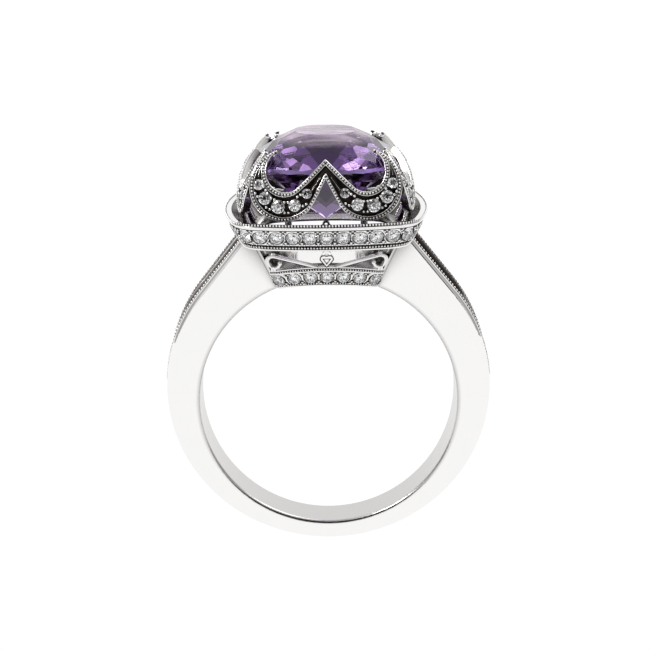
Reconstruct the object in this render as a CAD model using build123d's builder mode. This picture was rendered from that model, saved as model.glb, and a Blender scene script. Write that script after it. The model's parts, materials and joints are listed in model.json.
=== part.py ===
"""A cocktail ring: a large cushion amethyst in a petal collar, over a diamond-set rail,
a pierced gallery and a diamond-set base collet, on a shank with channelled shoulders.

The finger passes along Y. +Z points up to the stone, the front of the ring faces -Y,
and the origin is the centre of the finger bore. All sizes are in millimetres.
"""

import os
from math import acos, asin, atan2, cos, degrees, hypot, pi, radians, sin, sqrt

from build123d import *

# ---------------------------------------------------------------- driving dimensions
# Shank
bore_r = 8.45  # finger bore
band_bottom_wall = 1.25  # metal under the finger
band_side_wall = 2.15  # metal beside the finger
band_bottom_width = 3.05  # width along the finger at the bottom
shoulder_width = 5.3  # width along the finger where the head sits
shoulder_width_above_bore = 0.05  # level above the bore where that width is reached
shoulder_top_inset = 0.05  # the shoulder stops this far inside the rail's lower edge
band_outer_round = 0.35
band_inner_round = 0.2
channel_depth = 0.4  # recess down the outside of each shoulder
channel_border = 0.75  # metal left at each side of that recess
channel_end_angle = 4.0  # degrees above the side of the band where the recess dies out

# Head, a tapered basket with a cushion-shaped plan
head_foot_drop = 0.2  # the lowest point of the head, under the top of the bore
head_foot_half = 3.8  # half width of the head at that level
head_height = 2.65  # foot to underside of the diamond rail
head_inset = 0.6  # the basket meets the rail this far inside its lower edge
head_arch_r = 15.0  # arch of the base collet, which follows the finger
base_height = 1.2
base_open_half = 2.55  # opening under the stone, through the plate of the collet
base_end_margin = 0.9  # plain metal kept at each end of the row of stones
gallery_wall = 0.5
gallery_sill = 0.14  # slim strips that carry the scrolls
gallery_corner = 0.62  # plain metal at each corner of a pierced panel
scroll_wire = 0.17
scroll_loop_r = 0.43
scroll_turn = 277.0  # degrees that the wire runs round its loop
scroll_loop_x = 3.42
scroll_loop_drop = 1.03  # loop centre under the rail
scroll_curl_r = 0.13
heart_half = 0.42
heart_lobe_r = 0.24
heart_bail_lift = 0.03  # lowest point of the bail over the centres of the lobes
heart_bail_wire = 0.14
heart_point_r = 0.09
heart_open_half = 0.24  # pierced centre of the heart

# Cushion outline: side and corner radii as shares of its half width
side_bow_ratio = 2.9
corner_ratio = 0.3
base_side_bow_ratio = 2.6
base_corner_ratio = 0.3

# Diamond rail (halo)
rail_height = 1.8
rail_inset = 0.05  # the rail's lower edge stands this far inside the foot of the collar
rail_ledge = 0.85  # its upper edge stands this far outside
rail_lip = 0.4  # width of the top edge
rail_floor = 0.35  # thickness of the floor over the basket
rail_floor_inset = 0.7  # from the foot of the collar to where the cup wall meets the floor
rail_open_inset = 0.6  # opening into the basket, inside the top of the basket
rail_stone_r = 0.48
rail_stone_gap = 0.08  # least metal between neighbouring stones

# Petal collar
collar_thickness = 0.45
collar_lean_in = 0.63  # from its foot to the girdle of the stone
collar_bow_r = 19.0  # the plan of each panel is gently bowed
collar_bulge_over_rail = 0.8  # level where a panel stands upright, before it leans in
petal_outer_r = 2.09
petal_outer_x = 2.7
petal_outer_over_rail = 2.17
petal_inner_r = 1.2
petal_inner_x = 2.53
petal_inner_over_rail = 3.12
petal_peak_over_rail = 3.84
petal_notch_over_rail = 2.75
petal_tip_r = 0.13
petal_gap = 0.06  # between neighbouring panels, along the mitre
petal_foot_x = 2.4
petal_foot_width = 1.0
petal_foot_rise = 0.5  # the foot runs up this far into the petal

# Stones
seat_gap = 0.02
girdle_share = 0.06  # diamond girdle, as a share of its radius
crown_share = 0.32
pavilion_share = 0.9
table_share = 0.56
base_stone_r = 0.45
base_stone_gap = 0.15
petal_stones = ((-24, 0.35), (-50, 0.42), (-77, 0.44), (-106, 0.4), (-137, 0.32))  # angle, radius

# Centre stone
stone_half = 4.52
stone_gap = 0.1  # stone to collar at the girdle
stone_girdle_over_rail = 2.9
stone_girdle_height = 0.25
stone_crown_height = 1.85
stone_break_inset = 0.64  # where the steep lower crown turns into the bezel
stone_break_height = 0.6
stone_pavilion_depth = 3.6
stone_table_half = 2.4
stone_culet_half = 0.12
stone_sides = 16
stone_squareness = 3.2

# ---------------------------------------------------------------- derived sizes
# In plan the head is worked out from the stone outward.
collar_inner_foot = stone_half + stone_gap + collar_lean_in
collar_foot_half = collar_inner_foot + collar_thickness
rail_bottom_half = collar_foot_half - rail_inset
rail_top_half = collar_foot_half + rail_ledge
head_top_half = rail_bottom_half - head_inset

band_outer_r = bore_r + band_side_wall
band_centre = band_side_wall - band_bottom_wall
head_foot = bore_r - head_foot_drop
rail_bottom = head_foot + head_height
rail_top = rail_bottom + rail_height
head_slope = (head_top_half - head_foot_half) / head_height
head_low = head_foot - 1.0  # the basket blank starts under its lowest edge
head_low_half = head_foot_half - head_slope
rail_slope = (rail_top_half - rail_bottom_half) / rail_height
girdle_low = rail_top + stone_girdle_over_rail
girdle_middle = girdle_low + stone_girdle_height / 2
collar_bulge = rail_top + collar_bulge_over_rail
margin = 2.0  # how far cutting shapes stand outside what they cut
slight = 0.1  # a direction with less than this share along an axis counts as square to it


# ---------------------------------------------------------------- shared geometry
def tangent_point(px, pz, cx, cz, r, side):
    """Where the tangent from (px, pz) touches a circle, on the +1 or -1 side."""
    reach = hypot(px - cx, pz - cz)
    angle = atan2(pz - cz, px - cx) + side * acos(r / reach)
    return (cx + r * cos(angle), cz + r * sin(angle))


def cushion_parts(half, bow_ratio, round_ratio):
    """Side radius, corner radius, corner centre and half angle of a side arc."""
    side_r = half * bow_ratio
    corner_r = half * round_ratio
    shift = side_r - half
    centre = (sqrt(2 * (side_r - corner_r) ** 2 - shift**2) - shift) / 2
    sweep = atan2(centre, centre + shift)
    return side_r, corner_r, centre, sweep


def cushion_outline(half, bow_ratio=side_bow_ratio, round_ratio=corner_ratio):
    """A face with four bowed sides and four round corners."""
    side_r, corner_r, centre, sweep = cushion_parts(half, bow_ratio, round_ratio)
    x_end = side_r * sin(sweep)
    y_end = side_r * cos(sweep) - (side_r - half)
    tip = centre + corner_r * sqrt(0.5)
    corner = [(-x_end, -y_end), (0, -half), (x_end, -y_end), (tip, -tip), (y_end, -x_end)]
    with BuildLine() as outline:
        for _ in range(4):
            ThreePointArc(*corner[:3])
            ThreePointArc(*corner[2:])
            corner = [(-y, x) for x, y in corner]
    make_face(outline.edges())


def tapered_block(low, low_half, high, high_half, *ratios, mode=Mode.ADD):
    """A solid that runs from one cushion outline up to another."""
    with BuildSketch(Plane.XY.offset(low)) as below:
        cushion_outline(low_half, *ratios)
    with BuildSketch(Plane.XY.offset(high)) as above:
        cushion_outline(high_half, *ratios)
    loft(below.sketch.faces() + above.sketch.faces(), ruled=True, mode=mode)


def rim_place(half, along, bow_ratio, round_ratio):
    """Point and outward direction at a distance along a cushion, from its front."""
    side_r, corner_r, centre, sweep = cushion_parts(half, bow_ratio, round_ratio)
    side_run = side_r * sweep
    quarter = 2 * side_run + corner_r * (pi / 2 - 2 * sweep)
    turns = round(along / quarter)
    rest = along - turns * quarter
    if abs(rest) <= side_run:
        angle = rest / side_r
        x, y = side_r * sin(angle), side_r - half - side_r * cos(angle)
    else:
        sign = 1 if rest > 0 else -1
        angle = sign * (sweep + (abs(rest) - side_run) / corner_r)
        x = sign * centre + corner_r * sin(angle)
        y = -centre - corner_r * cos(angle)
    spin = turns * pi / 2
    point = (x * cos(spin) - y * sin(spin), x * sin(spin) + y * cos(spin))
    heading = angle + spin - pi / 2
    return point, heading, quarter


def wall_seat(half, level, along, slope, bow_ratio, round_ratio):
    """Plane of a stone set in a wall that leans outward as it rises."""
    point, heading, _ = rim_place(half, along, bow_ratio, round_ratio)
    lean = atan2(slope, 1)
    out = Vector(cos(heading) * cos(lean), sin(heading) * cos(lean), -sin(lean))
    side = Vector(-sin(heading), cos(heading), 0)
    return Plane(origin=(point[0], point[1], level), x_dir=side, z_dir=out)


def turned(seat, turn):
    """The same seat, carried round the vertical axis by some degrees."""
    return Plane(
        origin=seat.origin.rotate(Axis.Z, turn),
        x_dir=seat.x_dir.rotate(Axis.Z, turn),
        z_dir=seat.z_dir.rotate(Axis.Z, turn),
    )


def set_stone(seat, radius, gap=0.0, mode=Mode.ADD):
    """A round brilliant whose girdle lies on the seat plane, or the hole for it."""
    girdle = girdle_share * radius
    crown = crown_share * radius
    depth = pavilion_share * radius
    upright = Plane(origin=seat.origin, x_dir=seat.x_dir, z_dir=-seat.y_dir)
    with BuildSketch(upright) as profile:
        with BuildLine():
            if gap:
                Polyline(
                    (0, crown + radius),
                    (radius + gap, crown + radius),
                    (radius + gap, -girdle - gap),
                    (0, -depth - gap),
                    close=True,
                )
            else:
                Polyline(
                    (0, crown),
                    (table_share * radius, crown),
                    (radius, 0),
                    (radius, -girdle),
                    (0, -depth),
                    close=True,
                )
        make_face()
    revolve(profile.sketch, axis=Axis(seat.origin, seat.z_dir), mode=mode)


def write(part, name, colour):
    """Label a finished piece and write it as one STEP file."""
    part.label = name
    part.color = Color(*colour)
    export_step(part, "parts/" + name + ".step")
    box = part.bounding_box()
    print(name, len(part.solids()), "solids", [round(v, 2) for v in (*box.min, *box.max)])


os.makedirs("parts", exist_ok=True)
white_metal = (0.86, 0.86, 0.87)
clear_gem = (0.75, 0.9, 0.97)
violet_gem = (0.4, 0.2, 0.7)
base_shape = (base_side_bow_ratio, base_corner_ratio)
rail_shape = (side_bow_ratio, corner_ratio)

# ---------------------------------------------------------------- shank
shoulder_x = rail_bottom_half - shoulder_top_inset
break_x, break_z = tangent_point(shoulder_x, rail_bottom, 0, band_centre, band_outer_r, -1)
low_half_width = band_bottom_width / 2
high_half_width = shoulder_width / 2
band_low = band_centre - band_outer_r
width_level = bore_r + shoulder_width_above_bore
width_slope = (high_half_width - low_half_width) / (width_level - band_low)


def width_wedge(inset, mode):
    """Keep or cut the wedge that the two slanted faces of the band bound."""
    low = low_half_width - inset - margin * width_slope
    high = high_half_width - inset + (rail_top - width_level) * width_slope
    with BuildSketch(Plane.YZ) as wedge:
        with BuildLine():
            Polyline(
                (-low, band_low - margin),
                (low, band_low - margin),
                (high, rail_top),
                (-high, rail_top),
                close=True,
            )
        make_face()
    extrude(wedge.sketch, amount=band_outer_r + margin, both=True, mode=mode)


with BuildPart() as head_blank:
    tapered_block(head_low, head_low_half, rail_bottom, head_top_half, *base_shape)

with BuildPart() as channel:
    floor_x = channel_depth * break_x / band_outer_r
    floor_z = channel_depth * (break_z - band_centre) / band_outer_r
    end_x = band_outer_r * cos(radians(channel_end_angle))
    end_z = band_centre + band_outer_r * sin(radians(channel_end_angle))
    top_x = shoulder_x - floor_x
    top_z = rail_bottom - floor_z
    run_x = (shoulder_x - break_x) * margin
    run_z = (rail_bottom - break_z) * margin
    with BuildSketch(Plane.XZ) as channel_side:
        with BuildLine():
            ThreePointArc((end_x, end_z), (break_x - floor_x, break_z - floor_z), (top_x, top_z))
            Polyline(
                (top_x, top_z),
                (top_x + run_x, top_z + run_z),
                (band_outer_r + margin, top_z + run_z),
                (band_outer_r + margin, end_z),
                (end_x, end_z),
            )
        make_face()
    extrude(amount=shoulder_width, both=True)
    width_wedge(channel_border, Mode.INTERSECT)

with BuildPart() as shank:
    with BuildSketch(Plane.XZ):
        with BuildLine():
            ThreePointArc((break_x, break_z), (0, band_low), (-break_x, break_z))
            Line((-break_x, break_z), (-shoulder_x, rail_bottom))
            Line((-shoulder_x, rail_bottom), (shoulder_x, rail_bottom))
            Line((shoulder_x, rail_bottom), (break_x, break_z))
        make_face()
        Circle(bore_r, mode=Mode.SUBTRACT)
    extrude(amount=shoulder_width, both=True)
    width_wedge(0, Mode.INTERSECT)
    round_faces = shank.faces().filter_by(GeomType.CYLINDER)
    bore_face = [face for face in round_faces if abs(face.radius - bore_r) < seat_gap][0]
    rim_face = [face for face in round_faces if abs(face.radius - band_outer_r) < seat_gap][0]
    slant_faces = shank.faces().filter_by(GeomType.PLANE).filter_by(
        lambda face: abs(face.normal_at().Y) < slight < abs(face.normal_at().X)
    )
    long_edges = rim_face.edges() + slant_faces.edges()
    long_edges = long_edges.filter_by(lambda edge: abs(edge.center().Y) > low_half_width / 2)
    fillet(long_edges, band_outer_round)
    fillet(bore_face.edges(), band_inner_round)
    add(channel.part, mode=Mode.SUBTRACT)
    add(mirror(channel.part, about=Plane.YZ, mode=Mode.PRIVATE), mode=Mode.SUBTRACT)
    add(head_blank.part, mode=Mode.SUBTRACT)
write(shank.part, "shank", white_metal)

# ---------------------------------------------------------------- basket: base collet
base_top = head_foot + base_height
with BuildPart() as base_collet:
    add(head_blank.part)
    with BuildSketch(Plane.XY.offset(head_low)) as base_opening:
        cushion_outline(base_open_half, *base_shape)
    extrude(base_opening.sketch, amount=rail_bottom - head_low, mode=Mode.SUBTRACT)
    with BuildSketch(Plane.XZ) as arch_band:
        with Locations((0, base_top - head_arch_r)):
            Circle(head_arch_r)
        with Locations((0, head_foot - head_arch_r)):
            Circle(head_arch_r, mode=Mode.SUBTRACT)
    extrude(amount=rail_bottom, both=True, mode=Mode.INTERSECT)

    base_middle = (head_foot + base_top) / 2
    base_middle_half = head_foot_half + (base_middle - head_foot) * head_slope
    base_pitch = 2 * base_stone_r + base_stone_gap
    base_reach = int((base_middle_half - base_end_margin) / base_pitch)
    base_seats = []
    for place in range(-base_reach, base_reach + 1):
        along = place * base_pitch
        arch_fall = head_arch_r - sqrt(head_arch_r**2 - along**2)
        level = base_middle - arch_fall
        half = head_foot_half + (level - head_foot) * head_slope
        base_seats.append(wall_seat(half, level, along, head_slope, *base_shape))
    for seat in base_seats:
        set_stone(seat, base_stone_r, seat_gap, Mode.SUBTRACT)
        set_stone(turned(seat, 180), base_stone_r, seat_gap, Mode.SUBTRACT)
write(base_collet.part, "base_collet", white_metal)

for name, turn in (("front", 0), ("back", 180)):
    with BuildPart() as base_stones:
        for seat in base_seats:
            set_stone(turned(seat, turn), base_stone_r)
    write(base_stones.part, "base_stones_" + name, clear_gem)

# ---------------------------------------------------------------- basket: pierced gallery
cheek_half = high_half_width
heart_foot = base_top + gallery_sill
heart_lobe = heart_foot + 2 * heart_half - heart_lobe_r
bail_top = rail_bottom - gallery_sill
heart_bail_r = (bail_top - heart_lobe - heart_bail_lift) / 2
bail_centre = bail_top - heart_bail_r
loop_z = rail_bottom - scroll_loop_drop

with BuildPart() as gallery_blank:
    add(head_blank.part)
    tapered_block(
        head_low, head_low_half - gallery_wall, rail_bottom, head_top_half - gallery_wall,
        *base_shape, mode=Mode.SUBTRACT,
    )
    with BuildSketch(Plane.XZ):
        with Locations((0, base_top - head_arch_r)):
            Circle(head_arch_r)
    extrude(amount=rail_bottom, both=True, mode=Mode.SUBTRACT)

with BuildSketch(Plane.XZ) as heart_hull:
    with Locations((heart_half - heart_lobe_r, heart_lobe), (heart_lobe_r - heart_half, heart_lobe)):
        Circle(heart_lobe_r)
    with Locations((0, heart_foot + heart_point_r)):
        Circle(heart_point_r)
    make_hull()

with BuildSketch(Plane.XZ) as heart_shape:
    with Locations((0, bail_centre)):
        Circle(heart_bail_r)
        Circle(heart_bail_r - heart_bail_wire, mode=Mode.SUBTRACT)
    add(heart_hull.sketch)
    with BuildLine():
        Polyline(
            (-heart_open_half, heart_lobe),
            (heart_open_half, heart_lobe),
            (0, heart_foot + heart_half / 2),
            close=True,
        )
    make_face(mode=Mode.SUBTRACT)

with BuildSketch(Plane.XZ) as scroll_shape:
    wire_start = (heart_half + scroll_wire, heart_foot)
    touch = tangent_point(*wire_start, scroll_loop_x, loop_z, scroll_loop_r, -1)
    touch_angle = degrees(atan2(touch[1] - loop_z, touch[0] - scroll_loop_x))
    with BuildLine() as scroll_line:
        Line(wire_start, touch)
        CenterArc((scroll_loop_x, loop_z), scroll_loop_r, touch_angle, -scroll_turn)
    trace(scroll_line.edges(), line_width=scroll_wire)
    curl_angle = radians(touch_angle - scroll_turn)
    curl_x = scroll_loop_x + scroll_loop_r * cos(curl_angle)
    curl_z = loop_z + scroll_loop_r * sin(curl_angle)
    with Locations((curl_x, curl_z)):
        Circle(scroll_curl_r)
    loop_foot = loop_z - scroll_loop_r
    sill_level = base_top - head_arch_r + sqrt(head_arch_r**2 - scroll_loop_x**2)
    with Locations((scroll_loop_x, (loop_foot + sill_level) / 2)):
        Rectangle(2 * scroll_wire, loop_foot - sill_level)
    with BuildLine():
        post_low = head_foot_half - gallery_corner
        post_high = head_top_half - gallery_corner
        Polyline(
            (post_low, head_foot),
            (head_top_half + margin, head_foot),
            (head_top_half + margin, rail_bottom),
            (post_high, rail_bottom),
            close=True,
        )
    make_face()
    mirror(about=Plane.YZ)
    with Locations((0, rail_bottom - gallery_sill / 2)):
        Rectangle(2 * (head_top_half + margin), gallery_sill)
    with Locations((0, base_top - head_arch_r)):
        Circle(head_arch_r + gallery_sill)
    add(heart_hull.sketch, mode=Mode.SUBTRACT)

with BuildPart() as gallery:
    add(gallery_blank.part)
    front_pattern = scroll_shape.sketch.moved(Location((0, -cheek_half, 0)))
    extrude(front_pattern, amount=head_top_half, mode=Mode.INTERSECT)

with BuildPart() as heart:
    add(gallery_blank.part)
    extrude(heart_shape.sketch, amount=head_top_half, mode=Mode.INTERSECT)

for name, turn in (("front", 0), ("back", 180)):
    with BuildPart() as gallery_panel:
        add(gallery.part, rotation=(0, 0, turn))
    write(gallery_panel.part, "gallery_" + name, white_metal)
    with BuildPart() as heart_motif:
        add(heart.part, rotation=(0, 0, turn))
    write(heart_motif.part, "heart_" + name, white_metal)

with BuildPart() as gallery_cheek:
    add(gallery_blank.part)
    with BuildSketch(Plane.XY.offset(head_low)):
        with Locations((head_top_half, 0)):
            Rectangle(2 * head_top_half, 2 * cheek_half)
    extrude(amount=rail_bottom - head_low, mode=Mode.INTERSECT)

for name, turn in (("right", 0), ("left", 180)):
    with BuildPart() as cheek_plate:
        add(gallery_cheek.part, rotation=(0, 0, turn))
    write(cheek_plate.part, "gallery_cheek_" + name, white_metal)

# ---------------------------------------------------------------- diamond rail
rail_middle = (rail_bottom + rail_top) / 2
rail_middle_half = (rail_bottom_half + rail_top_half) / 2
_, _, rail_quarter = rim_place(rail_middle_half, 0, *rail_shape)
rail_per_side = int(rail_quarter / (2 * rail_stone_r + rail_stone_gap))  # counting one corner


def rail_seat(side, number):
    """Seat on the rail, counted along one side from the corner before it."""
    along = (side - 0.5 + number / rail_per_side) * rail_quarter
    return wall_seat(rail_middle_half, rail_middle, along, rail_slope, *rail_shape)


with BuildPart() as halo_rail:
    tapered_block(rail_bottom, rail_bottom_half, rail_top, rail_top_half, *rail_shape)
    tapered_block(
        rail_bottom + rail_floor, collar_foot_half - rail_floor_inset,
        rail_top, rail_top_half - rail_lip,
        *rail_shape, mode=Mode.SUBTRACT,
    )
    with BuildSketch(Plane.XY.offset(rail_bottom)) as well:
        cushion_outline(head_top_half - rail_open_inset, *base_shape)
    extrude(well.sketch, amount=rail_floor, mode=Mode.SUBTRACT)
    for side in range(4):
        for number in range(rail_per_side):
            set_stone(rail_seat(side, number), rail_stone_r, seat_gap, Mode.SUBTRACT)
write(halo_rail.part, "halo_rail", white_metal)

sides = ("front", "right", "back", "left")
for side, name in enumerate(sides):
    with BuildPart() as halo_stones:
        for number in range(1, rail_per_side):
            set_stone(rail_seat(side, number), rail_stone_r)
    write(halo_stones.part, "halo_stones_" + name, clear_gem)
with BuildPart() as corner_stones:
    for side in range(4):
        set_stone(rail_seat(side, 0), rail_stone_r)
write(corner_stones.part, "halo_stones_corners", clear_gem)

# ---------------------------------------------------------------- petal collar
lean_up = girdle_middle - collar_bulge
collar_inner_r = (collar_lean_in**2 + lean_up**2) / (2 * collar_lean_in)
collar_outer_r = collar_inner_r + collar_thickness
collar_core = collar_foot_half - collar_outer_r
bow_axis = collar_bow_r - collar_foot_half
petal_outer_z = rail_top + petal_outer_over_rail
petal_inner_z = rail_top + petal_inner_over_rail
petal_peak = rail_top + petal_peak_over_rail
petal_notch = rail_top + petal_notch_over_rail


def circle_crossing(ax, az, ar, bx, bz, br):
    """The upper crossing point of two circles."""
    gap = hypot(bx - ax, bz - az)
    along = (gap**2 + ar**2 - br**2) / (2 * gap)
    across = sqrt(ar**2 - along**2)
    ux, uz = (bx - ax) / gap, (bz - az) / gap
    first = (ax + along * ux - across * uz, az + along * uz + across * ux)
    second = (ax + along * ux + across * uz, az + along * uz - across * ux)
    return max(first, second, key=lambda point: point[1])


def petal_seat(angle):
    """Seat midway across a crescent, on the outer face of a petal panel."""
    way_x, way_z = cos(radians(angle)), sin(radians(angle))
    off_x, off_z = petal_outer_x - petal_inner_x, petal_outer_z - petal_inner_z
    ahead = way_x * off_x + way_z * off_z
    far = ahead + sqrt(petal_outer_r**2 - off_x**2 - off_z**2 + ahead**2)
    middle = (petal_inner_r + far) / 2
    x, z = petal_inner_x + middle * way_x, petal_inner_z + middle * way_z
    lift = asin((z - collar_bulge) / collar_outer_r)
    radius = bow_axis + collar_core + collar_outer_r * cos(lift)
    swing = asin(x / radius)
    out = Vector(sin(swing) * cos(lift), -cos(swing) * cos(lift), sin(lift))
    point = (x, bow_axis - radius * cos(swing), z)
    return Plane(origin=point, x_dir=(cos(swing), sin(swing), 0), z_dir=out)


def mirrored(seat):
    """The matching seat on the other crescent of the panel."""
    return Plane(
        origin=(-seat.origin.X, seat.origin.Y, seat.origin.Z),
        x_dir=(seat.x_dir.X, -seat.x_dir.Y, 0),
        z_dir=(-seat.z_dir.X, seat.z_dir.Y, seat.z_dir.Z),
    )


outer_circle = (petal_outer_x, petal_outer_z, petal_outer_r)
inner_circle = (petal_inner_x, petal_inner_z, petal_inner_r)
petal_tip = circle_crossing(*outer_circle, *inner_circle)
inner_touch = tangent_point(0, petal_peak, *inner_circle, 1)
outer_touch = tangent_point(0, petal_notch, *outer_circle, 1)

with BuildSketch(Plane.XZ) as petal_shape:
    with BuildLine():
        Line((0, petal_peak), inner_touch)
        ThreePointArc(inner_touch, (petal_inner_x + petal_inner_r, petal_inner_z), petal_tip)
        ThreePointArc(petal_tip, (petal_outer_x + petal_outer_r, petal_outer_z), outer_touch)
        Line(outer_touch, (0, petal_notch))
        Line((0, petal_notch), (0, petal_peak))
    make_face()
    with Locations(petal_tip):
        Circle(petal_tip_r)
    foot_low = rail_bottom + rail_floor
    foot_high = petal_outer_z - petal_outer_r + petal_foot_rise
    with Locations((petal_foot_x, (foot_low + foot_high) / 2)):
        Rectangle(petal_foot_width, foot_high - foot_low)
    mirror(about=Plane.YZ)

with BuildPart() as petal_blank:
    sheet_low, sheet_high = rail_bottom, petal_tip[1] + 2 * petal_tip_r
    with BuildSketch(Plane.YZ):
        with Locations((-collar_core, collar_bulge)):
            Circle(collar_outer_r)
            Circle(collar_inner_r, mode=Mode.SUBTRACT)
        with Locations((-collar_core - collar_outer_r, (sheet_low + sheet_high) / 2)):
            Rectangle(2 * collar_outer_r, sheet_high - sheet_low, mode=Mode.INTERSECT)
    revolve(axis=Axis((0, bow_axis, 0), (0, 0, 1)))
    extrude(petal_shape.sketch, amount=collar_foot_half + margin, mode=Mode.INTERSECT)
    with BuildSketch(Plane.XY.offset(sheet_low)):
        with BuildLine():
            mitre_x = collar_foot_half + margin
            mitre_y = -mitre_x - petal_gap
            Polyline((0, -petal_gap), (mitre_x, mitre_y), (-mitre_x, mitre_y), close=True)
        make_face()
    extrude(amount=sheet_high - sheet_low, mode=Mode.INTERSECT)
    add(halo_rail.part, mode=Mode.SUBTRACT)
    petal_seats = []
    for angle, radius in petal_stones:
        seat = petal_seat(angle)
        petal_seats += [(seat, radius), (mirrored(seat), radius)]
    for seat, radius in petal_seats:
        set_stone(seat, radius, seat_gap, Mode.SUBTRACT)

for side, name in enumerate(sides):
    with BuildPart() as petal_panel:
        add(petal_blank.part, rotation=(0, 0, 90 * side))
    write(petal_panel.part, "petal_" + name, white_metal)
    with BuildPart() as petal_gems:
        for seat, radius in petal_seats:
            set_stone(turned(seat, 90 * side), radius)
    write(petal_gems.part, "petal_stones_" + name, clear_gem)

# ---------------------------------------------------------------- centre stone
girdle_high = girdle_low + stone_girdle_height
stone_sections = (
    (girdle_low - stone_pavilion_depth, stone_culet_half),
    (girdle_low, stone_half),
    (girdle_high, stone_half),
    (girdle_high + stone_break_height, stone_half - stone_break_inset),
    (girdle_high + stone_crown_height, stone_table_half),
)


def stone_corner(number, half):
    """One corner of the many-sided cushion outline of the centre stone."""
    angle = 2 * pi * number / stone_sides
    bulge = abs(cos(angle)) ** stone_squareness + abs(sin(angle)) ** stone_squareness
    reach_out = half * bulge ** (-1 / stone_squareness)
    return (reach_out * cos(angle), reach_out * sin(angle))


with BuildPart() as centre_stone:
    for level, half in stone_sections:
        with BuildSketch(Plane.XY.offset(level)):
            with BuildLine():
                Polyline(*(stone_corner(n, half) for n in range(stone_sides)), close=True)
            make_face()
    loft(ruled=True)
write(centre_stone.part, "centre_stone", violet_gem)
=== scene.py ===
# %% [markdown]
# # A cocktail ring, piece by piece
# A large cushion-cut amethyst stands in a collar of eight diamond-set crescents, over a
# diamond-set rail, a pierced basket and a polished white-gold shank. The solid model gives every
# body and seat its true shape. This notebook adds what a setter and an engraver add at the bench:
# facets, beaded edges, setting beads, cut lines and polish.

# %% Load the solid model and keep its box
import json
import random
from math import acos, asin, atan2, cos, degrees, hypot, pi, radians, sin, sqrt

import bmesh
import bpy
from mathutils import Matrix, Vector


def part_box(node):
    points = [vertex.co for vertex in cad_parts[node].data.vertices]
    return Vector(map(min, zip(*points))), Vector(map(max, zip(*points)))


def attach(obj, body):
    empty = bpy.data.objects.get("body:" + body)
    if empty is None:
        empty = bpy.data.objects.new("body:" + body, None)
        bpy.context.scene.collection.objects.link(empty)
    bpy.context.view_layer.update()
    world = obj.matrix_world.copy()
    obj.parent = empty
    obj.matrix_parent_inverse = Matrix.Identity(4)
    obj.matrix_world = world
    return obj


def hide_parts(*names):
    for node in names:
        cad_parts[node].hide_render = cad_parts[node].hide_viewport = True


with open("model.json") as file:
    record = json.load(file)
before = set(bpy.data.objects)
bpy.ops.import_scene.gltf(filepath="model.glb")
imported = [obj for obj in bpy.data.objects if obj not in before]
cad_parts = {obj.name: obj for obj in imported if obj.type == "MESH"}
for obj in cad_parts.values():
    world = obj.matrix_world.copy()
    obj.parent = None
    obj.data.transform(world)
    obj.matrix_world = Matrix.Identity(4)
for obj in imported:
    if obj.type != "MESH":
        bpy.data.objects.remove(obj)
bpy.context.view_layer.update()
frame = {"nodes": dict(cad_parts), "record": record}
MM = 0.001  # one millimetre in Blender's metres
random.seed(7)
print("nodes:", len(frame["nodes"]))


# %% Read the main levels of the ring from the model
def box_mm(node):
    """Lowest and highest corner of a node, in millimetres."""
    low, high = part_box(node)
    return low / MM, high / MM


rail_low, rail_high = box_mm("halo_rail")
base_top = box_mm("base_collet")[1].z
shank_low, shank_high = box_mm("shank")
stone_low, stone_high = box_mm("centre_stone")
mounts = {mount["name"]: mount for mount in frame["record"]["mounts"]}
bore_r = mounts["finger_bore"]["dims"]["r_mm"]
rail_bottom, rail_top = rail_low.z, rail_high.z
print("bore", bore_r, "rail from", round(rail_bottom, 2), "to", round(rail_top, 2))

# %% [markdown]
# ## The camera
# A ring is shown from a little above its finger hole, with a long lens so that the round shank
# stays round. The camera looks at the middle of the ring, and the ring leans by under a degree.

# %% Place the camera
elevation = radians(14.5)
camera_distance = 142.0
look_at = Vector((-0.17, 0.0, 4.66))
lean = radians(-0.8)
camera_data = bpy.data.cameras.new("product_camera")
camera_data.lens = 119.0
camera_data.sensor_width = 36.0
camera_data.clip_start = 0.01
camera = bpy.data.objects.new("product_camera", camera_data)
camera.location = (look_at + camera_distance * Vector((0, -cos(elevation), sin(elevation)))) * MM
aim = (look_at * MM - camera.location).to_track_quat("-Z", "Y").to_matrix().to_4x4()
camera.rotation_euler = (aim @ Matrix.Rotation(lean, 4, "Z")).to_euler()
bpy.context.scene.collection.objects.link(camera)
bpy.context.scene.camera = camera
print("camera at", [round(v / MM) for v in camera.location], "mm")

# %% [markdown]
# ## The light
# Jewellers photograph polished metal in a white tent on a light table, because metal shows only
# what it mirrors. White all round would make it vanish, so one part of the tent stays dark: the
# opening that the camera looks through. That opening gives the grey and black lines.


# %% A small language for shader nodes
class Wire:
    """A socket that can be added, multiplied and compared like a number."""

    def __init__(self, tree, socket):
        self.tree = tree
        self.socket = socket

    def maths(self, operation, *values):
        return self.tree.node("ShaderNodeMath", {"operation": operation}, values)

    def __add__(self, other):
        return self.maths("ADD", self, other)

    def __radd__(self, other):
        return self.maths("ADD", other, self)

    def __sub__(self, other):
        return self.maths("SUBTRACT", self, other)

    def __rsub__(self, other):
        return self.maths("SUBTRACT", other, self)

    def __mul__(self, other):
        return self.maths("MULTIPLY", self, other)

    def __rmul__(self, other):
        return self.maths("MULTIPLY", other, self)

    def __pow__(self, other):
        return self.maths("POWER", self, other)


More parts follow.
